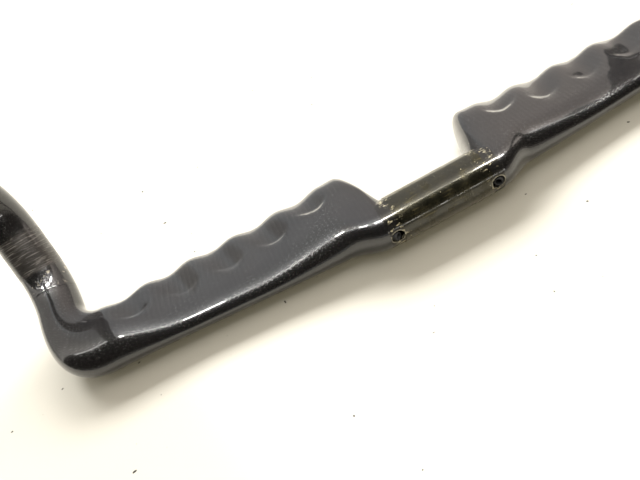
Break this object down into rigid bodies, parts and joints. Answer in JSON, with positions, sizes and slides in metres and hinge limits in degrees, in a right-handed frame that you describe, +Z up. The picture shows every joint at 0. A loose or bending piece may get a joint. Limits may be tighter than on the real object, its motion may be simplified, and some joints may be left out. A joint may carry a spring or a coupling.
{
  "type": "drop handlebar",
  "caption": "Moulded carbon drop handlebar with flattened tops, finger dishes on their underside, a bare round stem clamp zone, internal cable ports and expanding end plugs.",
  "frame": {"origin": "middle of the bare stem clamp zone, on the axis of the centre tube", "axes": "+X along the bar to the rider's left, +Y forward towards the hooks, +Z up with the bar lying upside down on its tops, so +Z points down once it is on a bicycle"},
  "size_m": [0.455, 0.1344, 0.1475],
  "materials": {
    "clear_coated_carbon": "fine twill carbon weave under a clear gloss coat",
    "drop_carbon": "dark carbon under a clear gloss coat, scuffed where the levers clamped",
    "bare_carbon": "bare carbon tube with a worn, olive-brown polish from the stem clamp",
    "inner_carbon": "raw carbon laminate",
    "liner_plastic": "thin natural nylon tube",
    "plug_plastic": "moulded black plastic",
    "plug_rubber": "smooth black rubber",
    "plug_metal": "turned aluminium",
    "screw_steel": "zinc-plated steel"
  },
  "bodies": {
    "bar": {"centre_tube": "bare_carbon", "clamp_sleeve": "inner_carbon", "left_wing_finger_shell": "clear_coated_carbon", "left_wing_palm_shell": "clear_coated_carbon", "left_drop": "drop_carbon", "left_drop_spigot": "inner_carbon", "left_cable_liner": "liner_plastic", "right_wing_finger_shell": "clear_coated_carbon", "right_wing_palm_shell": "clear_coated_carbon", "right_drop": "drop_carbon", "right_drop_spigot": "inner_carbon", "right_cable_liner": "liner_plastic"},
    "left_plug": {"left_plug_cap": "plug_plastic", "left_plug_expander": "plug_rubber"},
    "left_plug_wedge": {"left_plug_wedge": "plug_metal"},
    "left_plug_screw": {"left_plug_screw": "screw_steel"},
    "right_plug": {"right_plug_cap": "plug_plastic", "right_plug_expander": "plug_rubber"},
    "right_plug_wedge": {"right_plug_wedge": "plug_metal"},
    "right_plug_screw": {"right_plug_screw": "screw_steel"}
  },
  "joints": [
    {"name": "left_plug_pull", "type": "slide", "parent": "bar", "child": "left_plug", "axis": [0.0097, -0.9903, 0.1388], "range_m": [0, 0.03]},
    {"name": "left_plug_screw_turn", "type": "hinge", "parent": "left_plug", "child": "left_plug_screw", "pos_m": [0.21505, -0.02296, 0.12204], "axis": [0.0097, -0.9903, 0.1388], "range_deg": [0, 2160]},
    {"name": "left_plug_wedge_travel", "type": "slide", "parent": "left_plug", "child": "left_plug_wedge", "axis": [-0.0097, 0.9903, -0.1388], "range_m": [0, 0.0042]},
    {"name": "right_plug_pull", "type": "slide", "parent": "bar", "child": "right_plug", "axis": [-0.0097, -0.9903, 0.1388], "range_m": [0, 0.03]},
    {"name": "right_plug_screw_turn", "type": "hinge", "parent": "right_plug", "child": "right_plug_screw", "pos_m": [-0.21505, -0.02296, 0.12204], "axis": [-0.0097, -0.9903, 0.1388], "range_deg": [0, 2160]},
    {"name": "right_plug_wedge_travel", "type": "slide", "parent": "right_plug", "child": "right_plug_wedge", "axis": [0.0097, 0.9903, -0.1388], "range_m": [0, 0.0042]}
  ],
  "couplings": [
    {"joint": "left_plug_screw_turn", "follows": "left_plug_wedge_travel", "rad_per_m": 8976},
    {"joint": "right_plug_screw_turn", "follows": "right_plug_wedge_travel", "rad_per_m": 8976}
  ]
}
